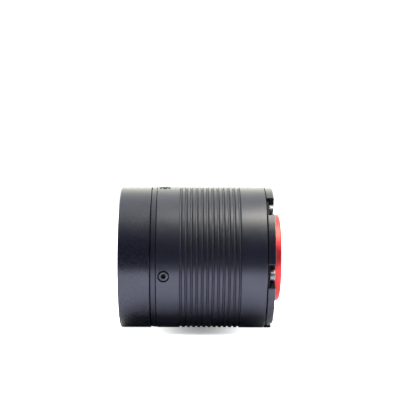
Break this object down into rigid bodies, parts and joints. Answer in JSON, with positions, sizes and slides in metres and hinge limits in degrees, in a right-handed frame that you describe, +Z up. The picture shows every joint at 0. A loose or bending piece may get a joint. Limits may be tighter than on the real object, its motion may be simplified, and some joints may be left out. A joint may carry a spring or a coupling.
{
  "type": "cooled astronomy camera",
  "caption": "Cooled astronomy camera: grooved black cylindrical body, rear fan and sockets, push-pull tilt plate and red threaded front ring.",
  "frame": {"origin": "midway along the optical axis, straight below it on the surface that the barrel lies on", "axes": "+X along the optical axis out of the threaded front ring, +Z up, the barrel lying on its side"},
  "size_m": [0.087, 0.078, 0.078],
  "materials": {
    "bare_aluminium": "satin",
    "black_anodised": "satin",
    "black_oxide_steel": "satin",
    "black_plastic": "matte",
    "blue_plastic": "satin",
    "board_black": "satin",
    "board_green": "satin",
    "brass": "satin",
    "ceramic_dark": "matte",
    "ceramic_white": "matte",
    "chip_epoxy": "matte",
    "copper": "satin",
    "desiccant": "matte",
    "foam": "matte",
    "magnet": "matte",
    "plated_steel": "polished",
    "polyimide": "satin",
    "red_anodised": "satin",
    "seal_rubber": "matte",
    "silicon": "gloss",
    "white_plastic": "satin",
    "window_glass": "gloss"
  },
  "bodies": {
    "camera_body": {"board_screws": "plated_steel", "carrier_ring": "black_anodised", "chamber_screws": "plated_steel", "cold_finger": "copper", "cooler_leads": "seal_rubber", "cooler_lower_stage": "ceramic_white", "cooler_upper_stage": "ceramic_white", "data_socket_shell": "plated_steel", "data_socket_tongues": "blue_plastic", "desiccant_tablets": "desiccant", "dew_heater": "polyimide", "fan_bearing": "brass", "fan_frame": "black_plastic", "fan_guard": "plated_steel", "fan_guard_screws": "black_oxide_steel", "fan_stator": "copper", "feed_through": "chip_epoxy", "heat_sink": "bare_aluminium", "heat_sink_screws": "plated_steel", "hub_socket_shells": "plated_steel", "hub_socket_tongues": "white_plastic", "insulation_sleeve": "foam", "main_board": "board_green", "main_board_chips": "chip_epoxy", "main_board_pillars": "brass", "main_board_power_parts": "chip_epoxy", "main_shell": "black_anodised", "power_jack": "black_plastic", "power_jack_pin": "plated_steel", "rear_cap": "black_anodised", "rear_cap_screws": "black_oxide_steel", "ribbon_cable": "white_plastic", "sensor_board": "board_green", "sensor_board_pillars": "white_plastic", "sensor_chamber": "bare_aluminium", "sensor_cover_glass": "window_glass", "sensor_die": "silicon", "sensor_package": "ceramic_dark", "side_screws": "black_oxide_steel", "socket_board": "board_black", "window": "window_glass", "window_and_chamber_seals": "seal_rubber", "window_cell": "black_anodised", "window_cell_screws": "black_oxide_steel", "window_retainer": "black_anodised"},
    "fan_rotor_body": {"fan_rotor": "black_plastic", "fan_magnet_ring": "magnet", "fan_shaft": "plated_steel"},
    "seal_ring_body": {"light_seal_ring": "foam"},
    "front_plate_body": {"tilt_plate": "black_anodised", "front_thread_ring": "red_anodised"},
    "pull_washer_1_body": {"pull_washer_1": "plated_steel"},
    "pull_screw_1_body": {"pull_screw_1": "plated_steel"},
    "push_screw_1_body": {"push_screw_1": "plated_steel"},
    "pull_washer_2_body": {"pull_washer_2": "plated_steel"},
    "pull_screw_2_body": {"pull_screw_2": "plated_steel"},
    "push_screw_2_body": {"push_screw_2": "plated_steel"},
    "pull_washer_3_body": {"pull_washer_3": "plated_steel"},
    "pull_screw_3_body": {"pull_screw_3": "plated_steel"},
    "push_screw_3_body": {"push_screw_3": "plated_steel"}
  },
  "joints": [
    {"name": "fan_spin", "type": "hinge", "parent": "camera_body", "child": "fan_rotor_body", "pos_m": [-0.0341, 0, 0.039], "axis": [1, 0, 0], "continuous": true},
    {"name": "tilt_plate_swing", "type": "hinge", "parent": "camera_body", "child": "seal_ring_body", "pos_m": [0.0351, 0, 0.039], "axis": [0, -0.165, 0.9863], "range_deg": [-0.35, 0.35]},
    {"name": "tilt_plate_nod", "type": "hinge", "parent": "seal_ring_body", "child": "front_plate_body", "pos_m": [0.0351, 0, 0.039], "axis": [0, -0.9863, -0.165], "range_deg": [-0.2, 0.2]},
    {"name": "pull_washer_1_slide", "type": "slide", "parent": "camera_body", "child": "pull_washer_1_body", "axis": [1, 0, 0], "range_m": [-0.00023, 0.00023]},
    {"name": "pull_screw_1_turn", "type": "hinge", "parent": "pull_washer_1_body", "child": "pull_screw_1_body", "pos_m": [0.0367, -0.03511, 0.03312], "axis": [1, 0, 0], "range_deg": [-157, 157]},
    {"name": "pull_washer_2_slide", "type": "slide", "parent": "camera_body", "child": "pull_washer_2_body", "axis": [1, 0, 0], "range_m": [-0.000115, 0.000115]},
    {"name": "pull_screw_2_turn", "type": "hinge", "parent": "pull_washer_2_body", "child": "pull_screw_2_body", "pos_m": [0.0367, 0.02264, 0.01153], "axis": [1, 0, 0], "range_deg": [-79, 79]},
    {"name": "pull_washer_3_slide", "type": "slide", "parent": "camera_body", "child": "pull_washer_3_body", "axis": [1, 0, 0], "range_m": [-0.000115, 0.000115]},
    {"name": "pull_screw_3_turn", "type": "hinge", "parent": "pull_washer_3_body", "child": "pull_screw_3_body", "pos_m": [0.0367, 0.01247, 0.07235], "axis": [1, 0, 0], "range_deg": [-79, 79]},
    {"name": "push_screw_1_turn", "type": "hinge", "parent": "camera_body", "child": "push_screw_1_body", "pos_m": [0.0365, -0.02264, 0.06647], "axis": [1, 0, 0], "range_deg": [-79, 79]},
    {"name": "push_screw_2_turn", "type": "hinge", "parent": "camera_body", "child": "push_screw_2_body", "pos_m": [0.0365, -0.01247, 0.00565], "axis": [1, 0, 0], "range_deg": [-79, 79]},
    {"name": "push_screw_3_turn", "type": "hinge", "parent": "camera_body", "child": "push_screw_3_body", "pos_m": [0.0365, 0.03511, 0.04488], "axis": [1, 0, 0], "range_deg": [-158, 158]}
  ],
  "couplings": [
    {"joint": "pull_washer_1_slide", "follows": "tilt_plate_swing", "m_per_rad": 0.0356},
    {"joint": "pull_screw_1_turn", "follows": "tilt_plate_swing", "ratio": 447.36},
    {"joint": "pull_washer_2_slide", "follows": "tilt_plate_swing", "m_per_rad": -0.0178},
    {"joint": "pull_screw_2_turn", "follows": "tilt_plate_swing", "ratio": -223.68},
    {"joint": "pull_washer_3_slide", "follows": "tilt_plate_swing", "m_per_rad": -0.0178},
    {"joint": "pull_screw_3_turn", "follows": "tilt_plate_swing", "ratio": -223.68},
    {"joint": "push_screw_1_turn", "follows": "tilt_plate_swing", "ratio": -223.68},
    {"joint": "push_screw_2_turn", "follows": "tilt_plate_swing", "ratio": -223.68},
    {"joint": "push_screw_3_turn", "follows": "tilt_plate_swing", "ratio": 447.36}
  ]
}
